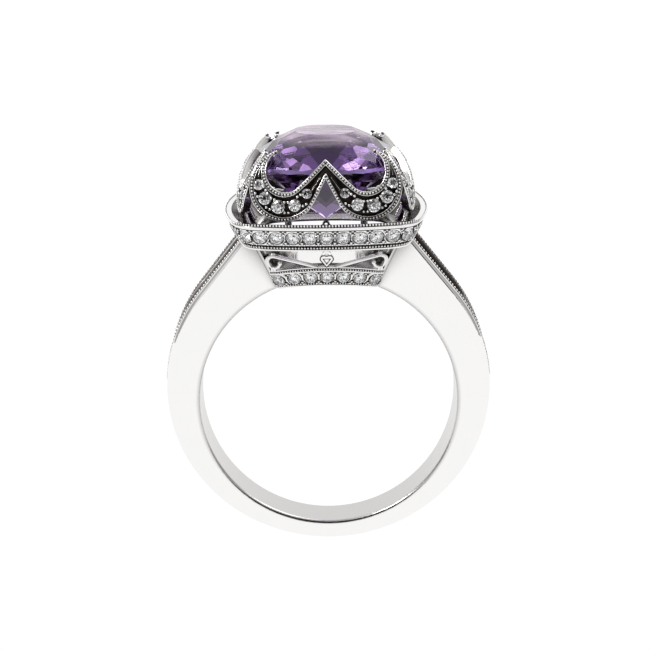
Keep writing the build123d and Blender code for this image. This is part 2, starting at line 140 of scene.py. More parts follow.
class Nodes:
    """Builds the nodes of one material or world."""

    def __init__(self, node_tree):
        self.node_tree = node_tree
        node_tree.nodes.clear()

    def node(self, kind, settings=None, sockets=(), out=0):
        """Add a node, apply its settings, then fill its sockets, and give back one output."""
        made = self.node_tree.nodes.new(kind)
        for name, value in (settings or {}).items():
            setattr(made, name, value)
        pairs = sockets.items() if isinstance(sockets, dict) else enumerate(sockets)
        for name, value in pairs:
            if isinstance(value, Wire):
                self.node_tree.links.new(value.socket, made.inputs[name])
            else:
                made.inputs[name].default_value = value
        self.last = made
        return Wire(self, made.outputs[out]) if made.outputs else None

    def show(self, shader):
        """Make a shader the look of the material."""
        self.node("ShaderNodeOutputMaterial", {}, {"Surface": shader})


# %% Shorthands for nodes that come back often
def colour(red, green, blue):
    """A colour with full opacity."""
    return (red, green, blue, 1.0)


def mix_colours(tree, share, first, second):
    """A blend of two colours."""
    settings = {"data_type": "RGBA"}
    return tree.node("ShaderNodeMix", settings, {0: share, 6: first, 7: second}, out=2)


def ramp(tree, value, low, high, first=0.0, last=1.0):
    """A soft change from first to last while value goes from low to high."""
    settings = {"interpolation_type": "SMOOTHSTEP"}
    sockets = {"Value": value, "From Min": low, "From Max": high, "To Min": first, "To Max": last}
    return tree.node("ShaderNodeMapRange", settings, sockets)


def split(tree, vector):
    """The three parts of a vector."""
    tree.node("ShaderNodeSeparateXYZ", {}, (vector,))
    return [Wire(tree, output) for output in tree.last.outputs]


def noise(tree, place, scale, detail):
    """Cloudy values around 0.5; a scale with three parts stretches the clouds."""
    if isinstance(scale, tuple):
        place = tree.node("ShaderNodeMapping", {}, {"Vector": place, "Scale": scale})
        scale = 1.0
    sockets = {"Vector": place, "Scale": scale, "Detail": detail}
    return tree.node("ShaderNodeTexNoise", {}, sockets)


def new_finish(name):
    """An empty material and its nodes."""
    made = bpy.data.materials.new(name)
    made.use_nodes = True
    return made, Nodes(made.node_tree)


# %% A white tent with a dark opening in front
tent_white, side_grey = colour(1.0, 1.0, 1.0), colour(0.38, 0.37, 0.37)
opening_dark = colour(0.035, 0.03, 0.028)
opening_middle = Vector((0.1, -0.9, 0.42)).normalized()
opening_fade = (0.62, 0.84)  # cosine of the angle from its middle: where it starts, and is full
side_fade = (0.3, 0.95)  # square of the sideways part: where the grey starts, and is full
world = bpy.data.worlds.new("light_tent")
bpy.context.scene.world = world
world.use_nodes = True
tent = Nodes(world.node_tree)
side, depth, height = split(tent, tent.node("ShaderNodeTexCoord", out="Generated"))
opening_dot = side * opening_middle.x + depth * opening_middle.y + height * opening_middle.z
opening = ramp(tent, opening_dot, *opening_fade)
tent_walls = mix_colours(tent, ramp(tent, side * side, *side_fade), tent_white, side_grey)
tent_colour = mix_colours(tent, opening, tent_walls, opening_dark)
tent.node("ShaderNodeBackground", {}, {"Color": tent_colour, "Strength": 1.0})
backdrop = Wire(tent, tent.last.outputs[0])
tent.node("ShaderNodeOutputWorld", {}, {"Surface": backdrop})
print("dark opening towards", [round(part, 2) for part in opening_middle])


# %% Softboxes over the ring
def softbox(name, place, size, power):
    """A square area light that faces the head of the ring."""
    data = bpy.data.lights.new(name, "AREA")
    data.size = size * MM
    data.energy = power
    lamp = bpy.data.objects.new(name, data)
    lamp.location = Vector(place) * MM
    aim_at = Vector((0, 0, rail_top)) * MM
    lamp.rotation_euler = (aim_at - lamp.location).to_track_quat("-Z", "Y").to_euler()
    bpy.context.scene.collection.objects.link(lamp)
    print(name, size, "mm wide")


softbox("left_softbox", (-150, -40, 180), 90, 0.25)
softbox("right_softbox", (120, 90, 190), 160, 0.15)

# %% The light table under the ring
table_drop = 24.0  # the ring is held above the table, so no shadow meets it
table_half = 30000 * MM  # wide enough to fill the view down to the horizon
table_level = (shank_low.z - table_drop) * MM
corners = [(-table_half, -table_half), (table_half, -table_half)]
corners += [(table_half, table_half), (-table_half, table_half)]
table_mesh = bpy.data.meshes.new("light_table")
table_mesh.from_pydata([(x, y, table_level) for x, y in corners], [], [(0, 1, 2, 3)])
light_table = bpy.data.objects.new("light_table", table_mesh)
bpy.context.scene.collection.objects.link(light_table)
table_finish, tree = new_finish("light_table")
tree.show(tree.node("ShaderNodeEmission", {}, {"Color": colour(1, 1, 1), "Strength": 1.02}))
table_mesh.materials.append(table_finish)
print("light table", table_drop, "mm below the ring")

scene = bpy.context.scene
scene.view_settings.view_transform = "Standard"
scene.cycles.max_bounces = 24
scene.cycles.glossy_bounces = 12
scene.cycles.transmission_bounces = 20

# %% [markdown]
# ## Polished white gold
# The ring is cast in white gold, plated with rhodium and polished. Polish leaves hair-fine marks
# in changing directions and a slight unevenness. Shade and dark reflections in the recesses are
# painted in brown-grey. The edges are never razor sharp, so a rounded normal softens them.


# %% Make the metal
# Painted shade: dark colours that stand in for shade and dark reflections in recesses, on inward
# walls and on up-facing floors; the grey stands in for shade inside the bore.
wide_shade_colour, fine_shade_colour = colour(0.06, 0.048, 0.042), colour(0.03, 0.024, 0.02)
wall_shade_colour, bore_shade_grey = colour(0.06, 0.05, 0.043), colour(0.6, 0.59, 0.58)


def hollow(tree, reach, low, high):
    """How closed in a spot is within a reach in millimetres, from 0 in the open to 1."""
    sockets = {"Distance": reach * MM}
    open_share = tree.node("ShaderNodeAmbientOcclusion", {"samples": 8}, sockets, out="AO")
    return ramp(tree, 1 - open_share, low, high)


def metal_finish(name, tint, gloss, fine_shade, shadow, edge, satin_shade_r=None, inside=0.0, floor=0.0):
    """Polished precious metal with painted shade: the fine share paints shade into fine recesses,
    shadow into wide ones; edge rounds corners.

    Within the radius given for the satin, measured from the axis of the finger, the polish is
    softer and its colour is painted greyer, as shade. Inside is how strongly shade is painted
    brown-dark on walls that look inward, and floor the same for those that look up.
    """
    made, tree = new_finish(name)
    place = tree.node("ShaderNodeTexCoord", out="Object")
    facing = tree.node("ShaderNodeTexCoord", out="Normal")
    (x, y, z), (facing_x, facing_y, facing_z) = split(tree, place), split(tree, facing)
    cloud = noise(tree, place, 900.0, 3.0)
    marks = noise(tree, place, (9000.0, 1500.0, 9000.0), 4.0)
    # Painted shade in fine recesses, found by how closed in each spot is
    fine = hollow(tree, 0.14, 0.2, 0.6) * fine_shade
    shade = mix_colours(tree, cloud * 0.5, colour(*tint), colour(*(0.95 * v for v in tint)))
    rough = gloss + marks * 0.04 + fine * 0.2
    # Painted shade in wide hollows
    if shadow:
        wide = hollow(tree, 2.6, 0.1, 0.5) * shadow
        shade = mix_colours(tree, wide, shade, wide_shade_colour)
    shade = mix_colours(tree, fine, shade, fine_shade_colour)
    # Painted shade on walls that look inward, towards the stone
    if inside:
        inward = ramp(tree, (x * facing_x + y * facing_y) * (-1 / MM), 0.5, 2.5, 0.0, inside)
        inward = inward * ramp(tree, facing_x * facing_x, 0.05, 0.4)
        shade = mix_colours(tree, inward, shade, wall_shade_colour)
        rough = rough + inward * 0.15
    # Painted shade on faces that look up, such as the floor of the collet
    if floor:
        upward = ramp(tree, facing_z, 0.6, 0.9, 0.0, floor)
        shade = mix_colours(tree, upward, shade, wall_shade_colour)
    # Painted shade inside the bore: the colour turns greyer there, and the polish softer, as satin
    if satin_shade_r:
        from_axis = (x * x + z * z) ** 0.5
        satin_and_shade = ramp(tree, from_axis, satin_shade_r * MM, (satin_shade_r + 0.3) * MM, 1.0, 0.0)
        shade = mix_colours(tree, satin_and_shade, shade, bore_shade_grey)
        rough = rough + satin_and_shade * 0.15
    sockets = {"Strength": 0.05, "Distance": 0.002 * MM, "Height": marks + cloud}
    if edge:
        sockets["Normal"] = tree.node("ShaderNodeBevel", {"samples": 4}, {"Radius": edge * MM})
    relief = tree.node("ShaderNodeBump", {}, sockets)
    sockets = {"Base Color": shade, "Roughness": rough, "Metallic": 1.0, "Normal": relief}
    tree.show(tree.node("ShaderNodeBsdfPrincipled", {}, sockets))
    return made


rhodium = (0.92, 0.913, 0.905)
# Every finish paints shade into its recesses; the rail, pierced and collet finishes also paint
# shade on inward walls or up-facing floors.
polished_gold = metal_finish("polished_white_gold", rhodium, 0.05, 0.4, 0.3, 0.03)
setting_gold = metal_finish("setting_white_gold", rhodium, 0.12, 0.9, 0.9, 0.02)
rail_gold = metal_finish("rail_white_gold", rhodium, 0.12, 0.9, 0.15, 0.02, inside=0.9)
collet_gold = metal_finish("collet_white_gold", rhodium, 0.12, 0.8, 0.15, 0.02, floor=1.0)
pierced_gold = metal_finish("pierced_white_gold", rhodium, 0.1, 0.5, 0.3, 0.02, inside=1.0)
bead_gold = metal_finish("beaded_white_gold", rhodium, 0.28, 0.6, 0.0, 0.0)
# The shank's bore gets painted shade
shank_gold = metal_finish("shank_white_gold", rhodium, 0.05, 0.5, 0.6, 0.06, satin_shade_r=bore_r + 0.02)
# Painted shade: a dark copy for the channel wall on the right shoulder
dark_side_shade_gold = metal_finish("channel_white_gold", (0.1, 0.09, 0.085), 0.3, 0.9, 0.3, 0.0)
wire_gold = metal_finish("wire_white_gold", rhodium, 0.35, 0.2, 0.0, 0.0)
# Painted shade, lighter: the copy for the left shoulder's channel wall and groove, because light
# falls unevenly
lit_side_shade_gold = metal_finish("worn_white_gold", (0.5, 0.48, 0.47), 0.3, 0.5, 0.1, 0.0)
# Painted shade: a near-black metal for dark lines in grooves, round seats, in scrolls and on the
# petals' sunk faces
painted_shade_gold = metal_finish("recessed_white_gold", (0.03, 0.025, 0.022), 0.45, 0.9, 0.6, 0.0)
print("gold finishes made for", len(frame["nodes"]), "nodes and the ornament")

# %% [markdown]
# ## Diamond and amethyst
# Both are clear crystals cut flat and polished, so their look comes from facets, refraction and
# what they mirror. Diamond bends light far more than amethyst. Natural amethyst has colour in
# uneven zones, deeper in some parts of the crystal than in others.


# %% Make the diamond
diamond_index, amethyst_index = 2.42, 1.55  # how strongly each bends light


def gem(tree, tint, index, rough=0.0, sheen=(1.0, 1.0, 1.0)):
    """Clear tinted crystal; sheen colours what it mirrors, inside and out."""
    sockets = {"Base Color": tint, "Roughness": rough, "IOR": index, "Transmission Weight": 1.0}
    sockets["Specular Tint"] = colour(*sheen)
    return tree.node("ShaderNodeBsdfPrincipled", {}, sockets)


diamond, tree = new_finish("diamond")
place = tree.node("ShaderNodeTexCoord", out="Object")
cloud = noise(tree, place, 1800.0, 2.0)
tint = mix_colours(tree, cloud, colour(1.0, 1.0, 1.0), colour(0.95, 0.96, 0.99))
tree.show(gem(tree, tint, diamond_index))
print("gem:", diamond.name)

# %% [markdown]
# ### The colour of the amethyst
# A cut stone is never one flat violet. It is pale at its point, where little crystal lies in the
# way of the light. On top, the white it mirrors is painted in as a pale haze with streaks. Some
# facets look nearly black, because they mirror something dark. A white tent gives them nothing
# dark to mirror, so that dark reflection is painted in: they get a darker finish of their own,
# picked by tilt and turn. The girdle is left frosted, as ground.

# %% Colour the amethyst in zones
girdle_low = rail_top + 2.9
girdle_height = 0.25
girdle_high = girdle_low + girdle_height
violet_pale, violet_deep = colour(0.62, 0.37, 0.9), colour(0.02, 0.008, 0.045)
shaded_pale, shaded_deep = colour(0.02, 0.007, 0.04), colour(0.008, 0.003, 0.02)


def amethyst_finish(name, pale, deep):
    """Amethyst with colour in zones, a pale point, and a painted reflection on top: a pale haze."""
    made, tree = new_finish(name)
    place = tree.node("ShaderNodeTexCoord", out="Object")
    level = split(tree, place)[2] * (1 / MM)
    zones = noise(tree, place, 420.0, 2.0)
    zones = ramp(tree, zones, 0.4, 0.62) * ramp(tree, level, stone_low.z, stone_low.z + 2.2)
    # Painted reflection: the top turns pale lilac and hazy, with streaks, for the white it mirrors
    top = ramp(tree, level, girdle_high + 1.15, girdle_high + 1.7)
    tint = mix_colours(tree, zones * 0.6, pale, deep)
    tint = mix_colours(tree, top * 0.85, tint, colour(0.85, 0.66, 0.86))
    reflection_streaks = noise(tree, place, (160.0, 1300.0, 1300.0), 2.0)
    sockets = {"Base Color": colour(0.74, 0.6, 0.73), "Roughness": 0.4}
    reflection_haze = tree.node("ShaderNodeBsdfPrincipled", {}, sockets)
    crystal = gem(tree, tint, amethyst_index, sheen=(0.8, 0.62, 1.0))
    reflection_share = top * (0.16 + ramp(tree, reflection_streaks, 0.35, 0.65) * 0.4)
    tree.show(tree.node("ShaderNodeMixShader", {}, (reflection_share, crystal, reflection_haze)))
    return made


amethyst = amethyst_finish("amethyst", violet_pale, violet_deep)
dark_facet = amethyst_finish("amethyst_shaded", shaded_pale, shaded_deep)

frosted, tree = new_finish("frosted_girdle")
place = tree.node("ShaderNodeTexCoord", out="Object")
grain = noise(tree, place, 6000.0, 3.0)
tint = mix_colours(tree, grain, colour(0.5, 0.38, 0.78), colour(0.3, 0.2, 0.55))
ground = tree.node("ShaderNodeBsdfPrincipled", {}, {"Base Color": tint, "Roughness": 0.5})
crystal = gem(tree, tint, amethyst_index, 0.3)
tree.show(tree.node("ShaderNodeMixShader", {}, (0.5, crystal, ground)))
print("gems:", amethyst.name, dark_facet.name, frosted.name)

# %% [markdown]
# ## Beads and wires
# Nearly all the ornament of a ring is beads, which a setter raises with a burr, and wires or cut
# lines. Modelling each one by hand would take days, so one small sphere and one function for
# round wires are repeated along paths, and every row becomes a single mesh.

# %% Helpers that turn points into pieces
def piece(name, points, faces, finish, smooth=True):
    """A mesh piece from points in millimetres, riding on the ring."""
    mesh = bpy.data.meshes.new(name)
    mesh.from_pydata([Vector(point) * MM for point in points], [], faces)
    mesh.update()
    mesh.polygons.foreach_set("use_smooth", [smooth] * len(mesh.polygons))
    mesh.materials.append(finish)
    made = bpy.data.objects.new(name, mesh)
    bpy.context.scene.collection.objects.link(made)
    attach(made, "root")
    return made


def sphere_shape():
    """Points and faces of a small round bead of radius 1."""
    bm = bmesh.new()
    bmesh.ops.create_icosphere(bm, subdivisions=2, radius=1.0)
    points = [vert.co.copy() for vert in bm.verts]
    faces = [tuple(vert.index for vert in face.verts) for face in bm.faces]
    bm.free()
    return points, faces


bead_points, bead_faces = sphere_shape()


def gather(shapes):
    """The points and faces of several shapes, each given as (points, faces), as one shape."""
    points, faces = [], []
    for more_points, more_faces in shapes:
        first = len(points)
        points += more_points
        faces += [tuple(first + number for number in face) for face in more_faces]
    return points, faces


def metal_piece(name, shapes, finish):
    """One metal piece made of several shapes."""
    made = piece(name, *gather(shapes), finish)


def beads(name, places, finish=bead_gold):
    """One piece made of many beads, each given as (centre, radius)."""
    shapes = []
    for centre, radius in places:
        shapes.append(([Vector(centre) + point * radius for point in bead_points], bead_faces))
    metal_piece(name, shapes, finish)


def tube(points, radius, closed=False, sides=8):
    """Points and faces of a round wire along a path; radius may be a list."""
    count = len(points)
    radii = radius if isinstance(radius, list) else [radius] * count
    rings, faces = [], []
    normal = None
    for number, point in enumerate(points):
        before = points[(number - 1) % count] if closed or number else point
        after = points[(number + 1) % count] if closed or number < count - 1 else point
        along = (Vector(after) - Vector(before)).normalized()
        if normal is None:
            normal = along.orthogonal().normalized()
        normal = (normal - along * normal.dot(along)).normalized()
        across = along.cross(normal)
        for turn in range(sides):
            angle = 2 * pi * turn / sides
            spoke = normal * cos(angle) + across * sin(angle)
            rings.append(Vector(point) + spoke * radii[number])
    runs = count if closed else count - 1
    for number in range(runs):
        here, there = number * sides, ((number + 1) % count) * sides
        for turn in range(sides):
            step = (turn + 1) % sides
            faces.append((here + turn, here + step, there + step, there + turn))
    if not closed:
        faces.append(tuple(reversed(range(sides))))
        faces.append(tuple((count - 1) * sides + turn for turn in range(sides)))
    return rings, faces


def wires(name, paths, finish, closed=False):
    """One piece made of several round wires, each given as (points, radius)."""
    metal_piece(name, [tube(path, radius, closed) for path, radius in paths], finish)


def spaced(path, pitch, closed=False):
    """Points at equal steps along a path."""
    path = [Vector(point) for point in path]
    if closed:
        path.append(path[0])
    lengths = [0.0]
    for first, second in zip(path, path[1:]):
        lengths.append(lengths[-1] + (second - first).length)
    count = max(2, round(lengths[-1] / pitch))
    stops = count if closed else count + 1
    result, leg = [], 0
    for number in range(stops):
        wanted = lengths[-1] * number / count
        while leg < len(lengths) - 2 and lengths[leg + 1] < wanted:
            leg += 1
        share = (wanted - lengths[leg]) / max(lengths[leg + 1] - lengths[leg], 1e-9)
        result.append(path[leg].lerp(path[leg + 1], share))
    return result


print("faces on a bead:", len(bead_faces))

# %% [markdown]
# ## The shank
# The shank keeps its solid shape: round inside for the finger, wider towards the head, with a
# sunk channel down the outside of each shoulder. What the solid lacks is the engraver's work: a
# beaded line along both edges of the channel and fine lines cut along its floor.

# %% Repeat the outline of the shoulders
side_wall = shank_high.x - bore_r
bottom_wall = -shank_low.z - bore_r
band_r = bore_r + side_wall
band_centre = side_wall - bottom_wall
shoulder_x = 5.6
low_half_width = 1.525
shoulder_half = 2.65
shoulder_level = bore_r + 0.05
channel_border = 0.75
channel_depth = 0.4
channel_end = radians(4.0)  # how far up the round of the band the channel stops
width_slope = (shoulder_half - low_half_width) / (shoulder_level - shank_low.z)
to_top = atan2(rail_bottom - band_centre, shoulder_x)
break_angle = to_top - acos(band_r / hypot(shoulder_x, rail_bottom - band_centre))
break_x = band_r * cos(break_angle)
break_z = band_centre + band_r * sin(break_angle)


def half_width(level):
    """Half the width of the band along the finger at a level."""
    return low_half_width + (level - shank_low.z) * width_slope


def shoulder_path(sink=0.0, steps=60, end=channel_end, stop=0.97):
    """Points (x, z) down the outside of the right shoulder, sunk below its surface."""
    out_x, out_z = cos(break_angle), sin(break_angle)
    straight = hypot(shoulder_x - break_x, rail_bottom - break_z) * stop
    curved = band_r * (break_angle - end)
    result = []
    for number in range(steps + 1):
        run = (straight + curved) * number / steps
        fade = sink * min(1.0, (straight + curved - run) / curved)
        if run < straight:
            left = straight - run
            x, z = break_x - left * out_z, break_z + left * out_x
            x, z = x - fade * out_x, z - fade * out_z
        else:
            angle = break_angle - (run - straight) / band_r
            x, z = (band_r - fade) * cos(angle), band_centre + (band_r - fade) * sin(angle)
        result.append((x, z))
    return result


# %% Bead the edges of both channels, cut lines along their floors, and paint shade on their walls
milgrain_r, milgrain_pitch, groove_r = 0.085, 0.23, 0.045
bead_inset, wall_inset = 0.06, 0.08  # outward from the edge of the channel
wall_sink, wall_end = 0.24, radians(24)
wall_steps, fade_steps, thin_r, more_r = 60, 20, 0.02, 0.14
lanes, lane_r = (-0.72, -0.45, -0.15, 0.15, 0.45, 0.72), 0.05
edge_beads, floor_lines = [], []
edge_groove_shades, channel_wall_shades = {1: [], -1: []}, {1: [], -1: []}
taper = [
    thin_r + more_r * min(1.0, (wall_steps - step) / fade_steps) for step in range(wall_steps + 1)
]
for mirror_x in (1, -1):
    for face in (1, -1):
        path = [
            (mirror_x * x, face * (half_width(z) - channel_border + bead_inset), z)
            for x, z in shoulder_path()
        ]
        edge_beads += [(point, milgrain_r) for point in spaced(path, milgrain_pitch)]
        edge_groove_shades[mirror_x].append((path, groove_r))
        path = [
            (mirror_x * x, face * (half_width(z) - channel_border + wall_inset), z)
            for x, z in shoulder_path(wall_sink, wall_steps, wall_end)
        ]
        channel_wall_shades[mirror_x].append((path, taper))
    for lane in lanes:
        path = [
            (mirror_x * x, lane * (half_width(z) - channel_border), z)
            for x, z in shoulder_path(channel_depth)
        ]
        floor_lines.append((path, lane_r))
beads("shoulder_milgrain", edge_beads)
# Painted shade on the grooves beside the beads and on the channel walls: dark on the right
# shoulder, lighter on the left, as the light falls
wires("shoulder_milgrain_grooves_right", edge_groove_shades[1], painted_shade_gold)
wires("shoulder_milgrain_grooves_left", edge_groove_shades[-1], lit_side_shade_gold)
wires("channel_wall_film_right", channel_wall_shades[1], dark_side_shade_gold)
wires("channel_wall_film_left", channel_wall_shades[-1], lit_side_shade_gold)
wires("channel_engraving", floor_lines, setting_gold)
print("shoulder beads:", len(edge_beads))

# %% [markdown]
# ## Cushion outlines
# The rail, the basket and the base collet share one kind of outline: four gently bowed sides
# with round corners. Every level is a scaled copy, so one function serves all of them, and it
# also spaces stones and beads evenly round the outline.


# %% Points round a cushion outline
def cushion(ratios):
    """Side radius, corner radius, corner centre and half side angle for half width 1."""
    side_r, corner_r = ratios
    shift = side_r - 1
    centre = (sqrt(2 * (side_r - corner_r) ** 2 - shift**2) - shift) / 2
    return side_r, corner_r, centre, atan2(centre, centre + shift)


def quarter_length(half, ratios):
    """Length of a quarter of the outline."""
    side_r, corner_r, centre, sweep = cushion(ratios)
    return half * (2 * side_r * sweep + corner_r * (pi / 2 - 2 * sweep))


def rim_place(half, along, ratios):
    """Point and outward direction at a distance along the outline from its front."""
    side_r, corner_r, centre, sweep = cushion(ratios)
    side_run = side_r * sweep * half
    quarter = quarter_length(half, ratios)
    turns = round(along / quarter)
    rest = along - turns * quarter
    if abs(rest) <= side_run:
        angle = rest / (side_r * half)
        x, y = half * side_r * sin(angle), half * (side_r - 1 - side_r * cos(angle))
    else:
        sign = 1 if rest > 0 else -1
        angle = sign * (sweep + (abs(rest) - side_run) / (corner_r * half))
        x = half * (sign * centre + corner_r * sin(angle))
        y = half * (-centre - corner_r * cos(angle))
    spin = turns * pi / 2
    x, y = x * cos(spin) - y * sin(spin), x * sin(spin) + y * cos(spin)
    heading = angle + spin - pi / 2
    return Vector((x, y)), Vector((cos(heading), sin(heading)))


rail_ratios = (2.9, 0.3)
base_ratios = (2.6, 0.3)
rail_bottom_half = 5.65
rail_top_half = rail_high.x


def rail_half(level):
    """Half width of the outside of the rail at a level."""
    share = (level - rail_bottom) / (rail_top - rail_bottom)
    return rail_bottom_half + share * (rail_top_half - rail_bottom_half)


def rail_line(level, out=0.0, count=240):
    """Points round the outside of the rail."""
    total = 4 * quarter_length(rail_half(level), rail_ratios)
    result = []
    for number in range(count):
        spot, way = rim_place(rail_half(level), total * number / count, rail_ratios)
        result.append((*(spot + way * out), level))
    return result


# %% [markdown]
# ## Round brilliants
# Each small diamond is a standard round brilliant: an octagonal table, eight kites, star and
# girdle facets above, and a pavilion of eight mains below. All its corners follow from a few
# radii, because every kite has to be flat.


# %% Build one brilliant of radius 1
def brilliant_shape(table=0.56, crown=0.32, girdle=0.05, depth=0.9):
    """Points and faces of a round brilliant with its girdle at level 0."""
    star_r, low_r = 0.8, 0.3
    half_step = pi / 8
    star_z = crown * (1 - star_r * cos(half_step)) / (1 - table)
    low_z = -girdle - (depth - girdle) * (1 - low_r * cos(half_step))
    points = [(0, 0, -depth)]
    for number in range(16):
        angle = half_step * number
        points.append((cos(angle), sin(angle), 0))
        points.append((cos(angle), sin(angle), -girdle))
        if number % 2:
            points.append((star_r * cos(angle), star_r * sin(angle), star_z))
            points.append((low_r * cos(angle), low_r * sin(angle), low_z))
        else:
            points.append((table * cos(angle), table * sin(angle), crown))
            points.append((0, 0, 0))
    top = [1 + 4 * number for number in range(16)]
    low = [2 + 4 * number for number in range(16)]
    upper = [3 + 4 * number for number in range(16)]
    under = [4 + 4 * number for number in range(16)]
    faces = [tuple(upper[number] for number in range(0, 16, 2))]
    for number in range(16):
        after, later = (number + 1) % 16, (number + 2) % 16
        faces.append((low[number], low[after], top[after], top[number]))
        if number % 2 == 0:
            before = (number - 1) % 16
            faces.append((upper[number], upper[before], top[number], upper[after]))
            faces.append((upper[number], upper[after], upper[later]))
            faces.append((low[number], under[before], 0, under[after]))
            faces.append((upper[after], top[number], top[after]))
            faces.append((upper[after], top[after], top[later]))
            faces.append((under[after], low[after], low[number]))
            faces.append((under[after], low[later], low[after]))
    used = sorted({number for face in faces for number in face})
    renumber = {old: new for new, old in enumerate(used)}
    points = [Vector(points[old]) for old in used]
    faces = [tuple(renumber[number] for number in face) for face in faces]
    return points, faces


brilliant_points, brilliant_faces = brilliant_shape()
print("facets on a brilliant:", len(brilliant_faces))


# %% Set rows of brilliants
seat_gap, seat_sink, seat_shade_r = 0.012, 0.01, 0.026


def seat_shade_rings(name, seats):
    """Painted shade: the fine dark line where each stone meets its seat."""
    paths = []
    for centre, out, radius in seats:
        turn = Vector(out).to_track_quat("Z", "Y").to_matrix()
        rim = radius + seat_gap
        ring = [(rim * cos(pi * n / 10), rim * sin(pi * n / 10), -seat_sink) for n in range(20)]
        paths.append(([Vector(centre) + turn @ Vector(point) for point in ring], seat_shade_r))
    wires(name, paths, painted_shade_gold, closed=True)


def brilliants(name, seats, *nodes):
    """One piece of several brilliants, each given as (centre, outward way, radius)."""
    seat_shade_rings(name + "_seats", seats)
    shapes = []
    for centre, out, radius in seats:
        turn = Vector(out).to_track_quat("Z", "Y").to_matrix()
        turn = turn @ Matrix.Rotation(random.uniform(0, pi / 4), 3, "Z")
        points = [Vector(centre) + turn @ (point * radius) for point in brilliant_points]
        shapes.append((points, brilliant_faces))
    made = piece(name, *gather(shapes), diamond, smooth=False)
    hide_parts(*nodes)


# %% [markdown]
# ## The diamond rail
# Forty brilliants sit edge to edge round the rail. The setter raises small beads between them
# from the metal itself, two above and two below each gap, and rolls a beaded line along both
# edges of the rail.

# %% Set the rail
rail_stones = 40
rail_stone_r = 0.48
rail_middle = (rail_bottom + rail_top) / 2
rail_lean = atan2(rail_top_half - rail_bottom_half, rail_top - rail_bottom)
rail_pitch = 4 * quarter_length(rail_half(rail_middle), rail_ratios) / rail_stones


def wall_way(way, lean):
    """Outward direction of a wall that leans out as it rises."""
    return Vector((way.x * cos(lean), way.y * cos(lean), -sin(lean)))


def rail_seat(number):
    """Centre, way and radius of one rail stone."""
    spot, way = rim_place(rail_half(rail_middle), number * rail_pitch, rail_ratios)
    return Vector((*spot, rail_middle)), wall_way(way, rail_lean), rail_stone_r


per_side = rail_stones // 4
reach_side = (per_side - 1) // 2
for number, name in enumerate(("front", "right", "back", "left")):
    middle = number * per_side
    seats = [rail_seat(n) for n in range(middle - reach_side, middle + reach_side + 1)]
    brilliants("rail_diamonds_" + name, seats, "halo_stones_" + name)
seats = [rail_seat((number + 0.5) * per_side) for number in range(4)]
brilliants("rail_diamonds_corners", seats, "halo_stones_corners")


def wall_spot(along, level, half_at, ratios, lean, out):
    """A point on a leaning wall, raised out of it."""
    spot, way = rim_place(half_at(level), along, ratios)
    return Vector((*spot, level)) + wall_way(way, lean) * out


# %% Raise the setting beads of the rail and bead its edges
rail_bead_spots = ((-0.14, 0.42, 0.085), (0.14, 0.42, 0.085), (0.0, 0.29, 0.1))  # along, up, size
bead_lift, rim_lift = 0.03, 0.01
setting_beads = []
for number in range(rail_stones):
    for up in (-1, 1):
        for shift, rise, size in rail_bead_spots:
            along = (number + 0.5) * rail_pitch
            level = rail_middle + up * rise
            along *= rail_half(level) / rail_half(rail_middle)
            shape = (rail_half, rail_ratios, rail_lean)
            centre = wall_spot(along + shift, level, *shape, bead_lift)
            setting_beads.append((centre, size))
beads("rail_setting_beads", setting_beads, setting_gold)

rim_wires = ((rail_top - 0.15, 0.09), (rail_bottom + 0.1, 0.1))  # level and radius
rail_rims = [(rail_line(level, rim_lift), radius) for level, radius in rim_wires]
wires("rail_rims", rail_rims, polished_gold, closed=True)
rail_bead_r, rail_bead_pitch = 0.07, 0.195
under_beads, bead_groove_r = 0.015, 0.055
cut_off_middle, cut_sink, cut_r = 0.53, 0.012, 0.035
# Painted shade: dark wires under both rows of beads and along both sides of the stones
rail_beads, rail_groove_shades = [], []
for level, out in ((rail_top - 0.01, 0.0), (rail_bottom + 0.24, 0.05)):
    row = spaced(rail_line(level, out), rail_bead_pitch, True)
    rail_beads += [(point, rail_bead_r) for point in row]
    rail_groove_shades.append((rail_line(level, out - under_beads), bead_groove_r))
for level in (rail_middle - cut_off_middle, rail_middle + cut_off_middle):
    rail_groove_shades.append((rail_line(level, -cut_sink), cut_r))
beads("rail_milgrain", rail_beads)
wires("rail_milgrain_grooves", rail_groove_shades, painted_shade_gold, closed=True)
print("rail beads:", len(rail_beads), "setting beads:", len(setting_beads))

# %% [markdown]
# ## The base collet
# The collet is a smaller copy of the rail that stands on the finger. Its two edges are arched,
# and seven brilliants show on the front and seven on the back.

# %% Set the base collet
arch_r = 15.0
base_height = 1.2
base_foot = base_top - base_height
foot_half, head_top_half = 3.8, 5.05
head_slope = (head_top_half - foot_half) / (rail_bottom - base_foot)
base_lean = atan2(head_slope, 1)


def head_half(level):
    """Half width of the tapered basket at a level."""
    return foot_half + (level - base_foot) * head_slope


def arch_fall(x):
    """How far an arched edge falls towards the sides."""
    return arch_r - sqrt(arch_r**2 - x**2)


def basket_spot(along, level, out):
    """A point on the wall of the basket, raised out of it."""
    return wall_spot(along, level, head_half, base_ratios, base_lean, out)


def arched(along, level, out):
    """A point on an arched line round the basket, on its front half."""
    spot = rim_place(head_half(level), along, base_ratios)[0]
    return basket_spot(along, level - arch_fall(spot.x), out)


